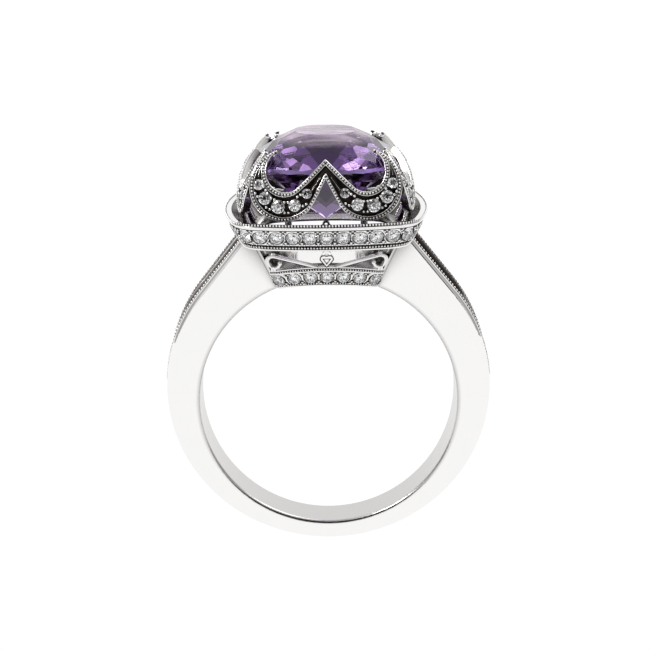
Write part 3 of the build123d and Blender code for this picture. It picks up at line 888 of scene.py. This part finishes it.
base_stone_r = 0.45
base_pitch = 1.05
base_middle = (base_foot + base_top) / 2
base_bead_spots = ((-0.12, 0.37, 0.08), (0.12, 0.37, 0.08), (0.0, 0.26, 0.09))  # along, up, size
base_lines = ((base_top - 0.1, base_top), (base_foot + 0.08, base_foot + 0.19))  # rim and beads
base_run, base_steps = 3.9, range(-30, 31)  # how far the lines run from the middle
base_rim_r, base_bead_r, base_bead_pitch, base_groove_r = 0.085, 0.06, 0.17, 0.045
for turn, name in ((0, "front"), (pi, "back")):
    spin = Matrix.Rotation(turn, 3, "Z")
    seats = []
    for number in range(-3, 4):
        along = number * base_pitch
        level = base_middle - arch_fall(along)
        spot, way = rim_place(head_half(level), along, base_ratios)
        centre = spin @ Vector((*spot, level))
        seats.append((centre, spin @ wall_way(way, base_lean), base_stone_r))
    brilliants("base_diamonds_" + name, seats, "base_stones_" + name)
    set_beads = []
    for number in range(-3, 5):
        along = (number - 0.5) * base_pitch
        for up in (-1, 1):
            for shift, rise, size in base_bead_spots:
                centre = arched(along + shift, base_middle + up * rise, bead_lift)
                set_beads.append((spin @ centre, size))
    beads("base_setting_beads_" + name, set_beads, setting_gold)
    rims, rim_groove_shades, rim_beads = [], [], []
    for rim_level, bead_level in base_lines:
        line = [arched(base_run * step / 30, rim_level, rim_lift) for step in base_steps]
        rims.append(([spin @ point for point in line], base_rim_r))
        line = [arched(base_run * step / 30, bead_level, bead_lift) for step in base_steps]
        rim_beads += [(spin @ point, base_bead_r) for point in spaced(line, base_bead_pitch)]
        rim_groove_shades.append(([spin @ point for point in line], base_groove_r))
    wires("base_rims_" + name, rims, polished_gold)
    beads("base_milgrain_" + name, rim_beads)
    # Painted shade under the rows of beads
    wires("base_milgrain_grooves_" + name, rim_groove_shades, painted_shade_gold)
print("beads along the rims of each half of the collet:", len(rim_beads))

# %% [markdown]
# ## Scrolls and hearts
# A gallery is pierced from one plate, so its scrolls are flat in the solid model. A jeweller
# files them round. Here a round wire runs along each scroll and ends in a bead, and thin dark
# wires are painted shade inside the scrolls' loops, under them and round the heart.

# %% Draw a scroll and a heart
scroll_wire, loop_r, loop_x, loop_drop, scroll_turn = 0.17, 0.43, 3.42, 1.03, radians(277)
heart_half_width, heart_foot = 0.42, base_top + 0.14
loop_z = rail_bottom - loop_drop
start_x = heart_half_width + scroll_wire
loop_reach = hypot(start_x - loop_x, heart_foot - loop_z)
touch = atan2(heart_foot - loop_z, start_x - loop_x) % (2 * pi) - acos(loop_r / loop_reach)
turns = [touch - scroll_turn * step / 28 for step in range(29)]


def loop_line(radius):
    """The round part of a scroll, drawn with a radius."""
    return [(loop_x + radius * cos(angle), loop_z + radius * sin(angle)) for angle in turns]


# Painted shade: dark lines inside each scroll's loop and under its straight start
shade_inset, shadow_drop = 0.17, 0.14
scroll = [(start_x, heart_foot), *loop_line(loop_r)]
(low_x, low_z), (high_x, high_z) = scroll[:2]
shadow_below = [
    (low_x + (high_x - low_x) * n / 8, low_z + (high_z - low_z) * n / 8 - shadow_drop)
    for n in range(2, 9)
]
shade_lines = (loop_line(loop_r - shade_inset), shadow_below)
lobe_r, opening_half = 0.24, 0.24
lobe_x, lobe_z = heart_half_width - lobe_r, heart_foot + 2 * heart_half_width - lobe_r
heart_outline = [(0.0, heart_foot)]
for centre_x, first in ((lobe_x, -30), (-lobe_x, 60)):
    for step in range(9):
        angle = radians(first + 150 * step / 8)
        heart_outline.append((centre_x + lobe_r * cos(angle), lobe_z + lobe_r * sin(angle)))
heart_opening = [(-opening_half, lobe_z), (opening_half, lobe_z)]
heart_opening.append((0.0, heart_foot + heart_half_width / 2))
print("scroll", round(2 * loop_r + scroll_wire, 2), "mm across its loop")

# %% Round off the scrolls of both galleries, and paint shade in the scrolls and round the hearts
scroll_swell, curl_r, shade_sink, shade_r, heart_shade_r = 0.015, 0.14, 0.12, 0.09, 0.035
for turn, name in ((0, "front"), (pi, "back")):
    spin = Matrix.Rotation(turn, 3, "Z")
    scrolls, curls, scroll_shades = [], [], []
    for mirror_x in (1, -1):
        line = [spin @ basket_spot(mirror_x * x, z, rim_lift) for x, z in scroll]
        scrolls.append((line, scroll_wire / 2 + scroll_swell))
        curls.append((line[-1], curl_r))
        for drawing in shade_lines:
            line = [spin @ basket_spot(mirror_x * x, z, -shade_sink) for x, z in drawing]
            scroll_shades.append((line, shade_r))
    wires("scroll_wires_" + name, scrolls, wire_gold)
    # Painted shade in the scrolls
    wires("scroll_film_" + name, scroll_shades, painted_shade_gold)
    beads("scroll_curls_" + name, curls)
    heart_shades = []
    for drawing in (heart_outline, heart_opening):
        heart_shades.append(([spin @ basket_spot(x, z, 0.0) for x, z in drawing], heart_shade_r))
    # Painted shade round each heart and in its opening
    wires("heart_lines_" + name, heart_shades, painted_shade_gold, closed=True)
print("scrolls rounded:", 2 * len(scrolls))

# %% [markdown]
# ## The petal collar
# Four panels stand on the rail. Each is two crescents that meet in a peak, bent inward so that
# their tips work as claws. A panel's outer face belongs to one turned surface, so any point of
# its drawing can be laid on that face, and the beaded borders and cut lines follow it.

# %% The face of a panel as a surface
stone_half = (stone_high.x - stone_low.x) / 2
collar_foot = 5.7
collar_wall = 0.45
collar_bow_r = 19.0
collar_bulge = rail_top + 0.8
collar_clearance = 0.04  # to the stone
lean_in = collar_foot - collar_wall - (stone_half + collar_clearance)
lean_up = girdle_low + girdle_height / 2 - collar_bulge
collar_r = (lean_in**2 + lean_up**2) / (2 * lean_in) + collar_wall
collar_core = collar_foot - collar_r
bow_axis = collar_bow_r - collar_foot


def on_panel(x, z, out=0.0):
    """The point and outward way of the front panel's face over a place in its drawing."""
    lift = asin((z - collar_bulge) / collar_r)
    radius = bow_axis + collar_core + collar_r * cos(lift)
    swing = asin(x / radius)
    way = Vector((sin(swing) * cos(lift), -cos(swing) * cos(lift), sin(lift)))
    return Vector((x, bow_axis - radius * cos(swing), z)) + way * out, way


# %% The drawing of a crescent
outer_x, outer_z, outer_r = 2.7, rail_top + 2.17, 2.09
inner_x, inner_z, inner_r = 2.53, rail_top + 3.12, 1.2
peak_z, notch_z = rail_top + 3.84, rail_top + 2.75


def edge_line(top_z, cx, cz, radius, tip_angle, count=60):
    """From the middle of a panel down a straight edge and round a circle to the tip."""
    reach = hypot(cx, top_z - cz)
    start = atan2(top_z - cz, -cx) + acos(radius / reach)
    if start < 0:
        start += 2 * pi
    touch = (cx + radius * cos(start), cz + radius * sin(start))
    straight = hypot(touch[0], top_z - touch[1])
    curved = radius * (tip_angle + 2 * pi - start)
    result = []
    for number in range(count + 1):
        run = (straight + curved) * number / count
        if run < straight:
            share = run / straight
            result.append((touch[0] * share, top_z + (touch[1] - top_z) * share))
        else:
            angle = start + (run - straight) / radius
            result.append((cx + radius * cos(angle), cz + radius * sin(angle)))
    return result


gap = hypot(inner_x - outer_x, inner_z - outer_z)
along_gap = (gap**2 + outer_r**2 - inner_r**2) / (2 * gap)
across_gap = sqrt(outer_r**2 - along_gap**2)
gap_x, gap_z = (inner_x - outer_x) / gap, (inner_z - outer_z) / gap
tip_x = outer_x + along_gap * gap_x + across_gap * gap_z
tip_z = outer_z + along_gap * gap_z - across_gap * gap_x
outer_edge = edge_line(notch_z, outer_x, outer_z, outer_r, atan2(tip_z - outer_z, tip_x - outer_x))
inner_edge = edge_line(peak_z, inner_x, inner_z, inner_r, atan2(tip_z - inner_z, tip_x - inner_x))


def crescent_place(along, share):
    """Place in the drawing: along a crescent from the middle, across from its inner edge."""
    place = along * (len(inner_edge) - 1)
    low = min(int(place), len(inner_edge) - 2)
    part = place - low
    (ax, az), (bx, bz) = inner_edge[low : low + 2]
    (cx, cz), (dx, dz) = outer_edge[low : low + 2]
    ix, iz = ax + (bx - ax) * part, az + (bz - az) * part
    ox, oz = cx + (dx - cx) * part, cz + (dz - cz) * part
    return ix + (ox - ix) * share, iz + (oz - iz) * share


def petal_seat(angle):
    """Place in the drawing midway across a crescent, in a direction from its inner circle."""
    way_x, way_z = cos(radians(angle)), sin(radians(angle))
    off_x, off_z = outer_x - inner_x, outer_z - inner_z
    ahead = way_x * off_x + way_z * off_z
    far = ahead + sqrt(outer_r**2 - off_x**2 - off_z**2 + ahead**2)
    middle = (inner_r + far) / 2
    return inner_x + middle * way_x, inner_z + middle * way_z


# %% Shape one petal panel with its sunk field
collar_edge = 0.27  # width of the raised border
field_depth = 0.3
flute_depth = 0.12
tip_stop = 0.985  # the tips are cut off here, where they get too thin to make
tip_thinning, middle_gap = 0.2, 0.03
# Painted shade: these sides of each panel get the near-black metal
painted_shade_sides = (1, 3, 4, 6, 8, 9)  # the border's top, the field's floor and the panel's back


def petal_place(share_along, share_across, mirror_x, out):
    """A point of a panel: along half of it from the middle, and across from the inner edge."""
    x, z = crescent_place(share_along, share_across)
    return on_panel(mirror_x * x, z, out)[0]


def crescent_width(share_along):
    """Distance between the two edges of a crescent."""
    (ax, az), (bx, bz) = (crescent_place(share_along, share) for share in (0.0, 1.0))
    return max(hypot(ax - bx, az - bz), 0.02)


def smooth_step(value, low, high):
    """A soft change from 0 at low to 1 at high."""
    share = min(max((value - low) / (high - low), 0.0), 1.0)
    return share * share * (3 - 2 * share)


def panel_section(along, mirror_x):
    """Points round the cross-section of a panel."""
    edge = min(0.34, collar_edge / crescent_width(along))
    in_field = smooth_step(along, 0.13, 0.2) * (1 - smooth_step(along, 0.74, 0.84))
    sunk = flute_depth + (field_depth - flute_depth) * in_field
    wall = collar_wall - tip_thinning * smooth_step(along, 0.85, 1.0)
    drawing = [(0, -wall), (0, 0), (edge, 0), (edge, -sunk), (0.5, -sunk)]
    drawing += [(1 - edge, -sunk), (1 - edge, 0), (1, 0), (1, -wall), (0.5, -wall)]
    result = []
    for share, out in drawing:
        point = petal_place(along, share, mirror_x, out)
        limit = -point.y - middle_gap
        point.x = max(-limit, min(limit, point.x))
        result.append(point)
    return result


def panel_shape(steps=60):
    """Points and faces of a whole panel, from its left tip to its right tip."""
    rows = [panel_section(tip_stop * step / steps, -1) for step in range(steps, 0, -1)]
    rows += [panel_section(tip_stop * step / steps, 1) for step in range(steps + 1)]
    size = len(rows[0])
    points = [point for row in rows for point in row]
    faces, shaded_faces = [], []
    for row in range(len(rows) - 1):
        for number in range(size):
            after = (number + 1) % size
            here, there = row * size, (row + 1) * size
            if number in painted_shade_sides:
                shaded_faces.append(len(faces))
            faces.append((here + number, here + after, there + after, there + number))
    faces.append(tuple(reversed(range(size))))
    faces.append(tuple((len(rows) - 1) * size + number for number in range(size)))
    return points, faces, shaded_faces


panel_points, panel_faces, panel_shaded_faces = panel_shape()
print("panel faces:", len(panel_faces))

# %% Lines that follow a crescent
def petal_line(share, first, last, mirror_x, out, spin, count=16):
    """A line along a crescent, raised by out."""
    places = [first + (last - first) * number / count for number in range(count + 1)]
    return [spin @ petal_place(along, share, mirror_x, out) for along in places]


def edge_share(along, offset):
    """Share across a crescent at a distance from its inner edge, or its outer one if negative."""
    width = crescent_width(along)
    return min(offset / width, 0.45) if offset > 0 else max(1 + offset / width, 0.55)


def border_line(offset, mirror_x, out, spin, count=80):
    """A line that keeps its distance from the edge of a crescent."""
    result = []
    for step in range(count + 1):
        along = tip_stop * step / count
        result.append(spin @ petal_place(along, edge_share(along, offset), mirror_x, out))
    return result


# %% Set and bead the four panels
petal_stones = ((-24, 0.35), (-50, 0.42), (-77, 0.44), (-106, 0.4), (-137, 0.32))
foot_x, foot_low, foot_top, foot_r = 2.4, rail_bottom + 0.3, outer_z - outer_r + 0.3, 0.22
bead_off, bead_slide, petal_bead_r, stem_r = 0.33, 0.12, 0.1, 0.08
border_wires = ((0.045, 0.02, 0.05), (0.29, 0.0, 0.045))  # distance in, lift and radius
border_bead_in, border_bead_lift, border_bead_r, border_pitch = 0.165, 0.06, 0.068, 0.2
border_groove_r, flute_r, cut_line_r = 0.08, 0.04, 0.045
claw_back, claw_in, claw_drop, claw_radii = 0.3, 0.24, 0.03, [0.16, 0.15, 0.13, 0.1, 0.05]
for number, name in enumerate(("front", "right", "back", "left")):
    spin = Matrix.Rotation(number * pi / 2, 3, "Z")
    points = [spin @ point for point in panel_points]
    panel = piece("petal_panel_" + name, points, panel_faces, setting_gold, smooth=False)
    # Painted shade on the border's top, the field's floor and the panel's back
    panel.data.materials.append(painted_shade_gold)
    for face in panel_shaded_faces:
        panel.data.polygons[face].material_index = 1
    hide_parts("petal_" + name)
    seats, set_beads, stems = [], [], []
    ridges, groove_shades, flutes, border_beads = [], [], [], []
    for mirror_x in (1, -1):
        for angle, radius in petal_stones:
            x, z = petal_seat(angle)
            centre, way = on_panel(mirror_x * x, z)
            seats.append((spin @ centre, spin @ way, radius))
        for here, after in zip(petal_stones, petal_stones[1:]):
            angle = (here[0] + after[0]) / 2
            x, z = petal_seat(angle)
            way_x, way_z = cos(radians(angle)), sin(radians(angle))
            for off in (-bead_off, bead_off):
                for slide in (-bead_slide, bead_slide):
                    px = x + off * way_x - slide * way_z
                    pz = z + off * way_z + slide * way_x
                    low = on_panel(mirror_x * px, pz, -field_depth - 0.05)[0]
                    high = on_panel(mirror_x * px, pz, bead_lift)[0]
                    stem = [spin @ low, spin @ low.lerp(high, 0.5), spin @ high]
                    stems.append((stem, stem_r))
                    set_beads.append((spin @ high, petal_bead_r))
        for side_sign in (1, -1):
            for inset, lift, radius in border_wires:
                line = border_line(side_sign * inset, mirror_x, lift, spin)
                ridges.append((line, radius))
            inset = side_sign * border_bead_in
            groove_shades.append((border_line(inset, mirror_x, 0.0, spin), border_groove_r))
            line = border_line(inset, mirror_x, border_bead_lift, spin)
            border_beads += [(point, border_bead_r) for point in spaced(line, border_pitch)]
        for first, last in ((0.07, 0.21), (0.76, 0.92)):
            flutes.append((petal_line(0.5, first, last, mirror_x, -0.03, spin), flute_r))
        for first, last in ((0.0, 0.22), (0.74, 0.94)):
            for share in (0.44, 0.56):
                line = petal_line(share, first, last, mirror_x, -0.02, spin)
                groove_shades.append((line, cut_line_r))
        levels = [foot_low + (foot_top - foot_low) * step / 8 for step in range(9)]
        foot = [spin @ on_panel(mirror_x * foot_x, level, -foot_r)[0] for level in levels]
        ridges.append((foot, foot_r))
        tip = petal_place(0.95, 0.5, mirror_x, -0.1)
        over_x = mirror_x * (abs(tip.x) - claw_back)
        over_stone = Vector((over_x, tip.y + claw_in, tip.z - claw_drop))
        claw = [spin @ tip.lerp(over_stone, share / 4) for share in range(5)]
        ridges.append((claw, claw_radii))
    brilliants("petal_diamonds_" + name, seats, "petal_stones_" + name)
    wires("petal_ridges_" + name, ridges, polished_gold)
    # Painted shade: dark lines beside the border beads and along the cut lines near the middle and
    # tips
    wires("petal_grooves_" + name, groove_shades, painted_shade_gold)
    beads("petal_milgrain_" + name, border_beads)
    wires("petal_flutes_" + name, flutes, polished_gold)
    wires("petal_bead_stems_" + name, stems, setting_gold)
    beads("petal_setting_beads_" + name, set_beads, setting_gold)
print("border beads on a panel:", len(border_beads), "setting beads:", len(set_beads))

# %% [markdown]
# ## The amethyst
# A lapidary starts from a block and grinds one flat facet after another, each at an index round
# the stone and an angle from its girdle. The same is done here: the block is cut by one plane
# for each facet, so every facet is truly flat and the edges are as crisp as on a real stone.

# %% Cut the centre stone
squareness = 3.2


def outline_reach(angle, rounding):
    """Distance of the outline's tangent line in a direction, drawn towards a circle by rounding."""
    power = squareness / (squareness - 1)
    total = abs(cos(angle)) ** power + abs(sin(angle)) ** power
    return stone_half * (rounding + (1 - rounding) * total ** (1 / power))


bm = bmesh.new()
bmesh.ops.create_cube(bm, size=4 * stone_half)
bmesh.ops.translate(bm, verts=bm.verts, vec=(0, 0, girdle_low))


def grind(way, point):
    """Cut the stone flat and keep the inner side."""
    geometry = bm.verts[:] + bm.edges[:] + bm.faces[:]
    cut = bmesh.ops.bisect_plane(
        bm, geom=geometry, dist=1e-5, plane_co=point, plane_no=way, clear_outer=True
    )
    edges = [item for item in cut["geom_cut"] if isinstance(item, bmesh.types.BMEdge)]
    if edges:
        bmesh.ops.edgenet_fill(bm, edges=edges)


def facet_row(count, first, angle, level, share, up, rounding):
    """A row of facets at equal indexes, all passing a share of the girdle's outline at a level."""
    for number in range(count):
        index = first + 2 * pi * number / count
        reach = outline_reach(index, rounding) * share
        tilt = radians(angle)
        way = Vector((cos(index) * sin(tilt), sin(index) * sin(tilt), up * cos(tilt)))
        grind(way, (reach * cos(index), reach * sin(index), level))


facet_rows = (  # count, first index, angle, level, share of the outline, up or down, rounding
    (32, 0.0, 90.0, girdle_low, 1.0, 1, 0.0),
    (24, pi / 24, 47.0, girdle_low, 1.0, -1, 0.0),
    (16, 0.0, 42.0, girdle_low - 0.34, 0.93, -1, 0.0),
    (16, pi / 16, 39.0, girdle_low - 1.22, 0.71, -1, 0.2),
    (8, pi / 8, 36.5, girdle_low - 2.3, 0.41, -1, 0.4),
    (24, pi / 24, 54.0, girdle_high, 1.0, 1, 0.0),
    (16, 0.0, 43.0, girdle_high + 0.4, 0.93, 1, 0.1),
    (16, pi / 16, 33.0, girdle_high + 1.0, 0.775, 1, 0.4),
    (16, 0.0, 25.0, girdle_high + 1.58, 0.56, 1, 0.7),
)
for row in facet_rows:
    facet_row(*row)
grind(Vector((0, 0, 1)), (0, 0, stone_high.z))
bmesh.ops.remove_doubles(bm, verts=bm.verts, dist=1e-4)
bmesh.ops.recalc_face_normals(bm, faces=bm.faces)
stone_points = [vert.co.copy() for vert in bm.verts]
stone_faces = [tuple(vert.index for vert in face.verts) for face in bm.faces]
bm.free()
lowest = min(point.z for point in stone_points)
print("facets on the amethyst:", len(stone_faces), "culet at", round(lowest, 2))

# %% Give the girdle and the dark facets their finishes
girdle_tilt = 87
# Painted dark reflection: the facets that these limits pick get the near-black amethyst
dark_reflection_picks = (  # up or down, least and most tilt, least and most turn off an axis, in degrees
    (1, 40, 46, -1, 5),
    (1, 40, 46, 40, 46),
    (1, 30, 36, -1, 15),
    (-1, 38, 50, -1, 12),
)
cut_stone = piece("cut_amethyst", stone_points, stone_faces, amethyst, smooth=False)
cut_stone.data.materials.append(frosted)
cut_stone.data.materials.append(dark_facet)
for face in cut_stone.data.polygons:
    tilt = degrees(acos(min(1.0, abs(face.normal.z))))
    turn = degrees(atan2(face.normal.y, face.normal.x))
    off_axis = abs((turn + 45) % 90 - 45)
    for up, tilt_low, tilt_high, off_low, off_high in dark_reflection_picks:
        on_side = up * face.normal.z > 0
        if on_side and tilt_low < tilt < tilt_high and off_low < off_axis < off_high:
            face.material_index = 2
    if tilt > girdle_tilt:
        face.material_index = 1
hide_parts("centre_stone")
dark_facets = [face for face in cut_stone.data.polygons if face.material_index == 2]
print("dark facets:", len(dark_facets))

# %% [markdown]
# ## The solid pieces
# The shank, the rail, the collet and the galleries keep the shape of the solid model. Only their
# plain metal is changed, each for a finish with the shade that its place on the ring gets painted
# in.

# %% Give the solid pieces their metal
node_metal = {"shank": shank_gold, "halo": rail_gold, "base": collet_gold}
node_metal |= {"gallery": pierced_gold, "heart": pierced_gold}
for name, node in frame["nodes"].items():
    slots = node.data.materials
    if slots and slots[0] and slots[0].name.startswith("white_gold"):
        slots[0] = node_metal.get(name.split("_")[0], setting_gold)
print("metals for the solid pieces:", sorted(node_metal))
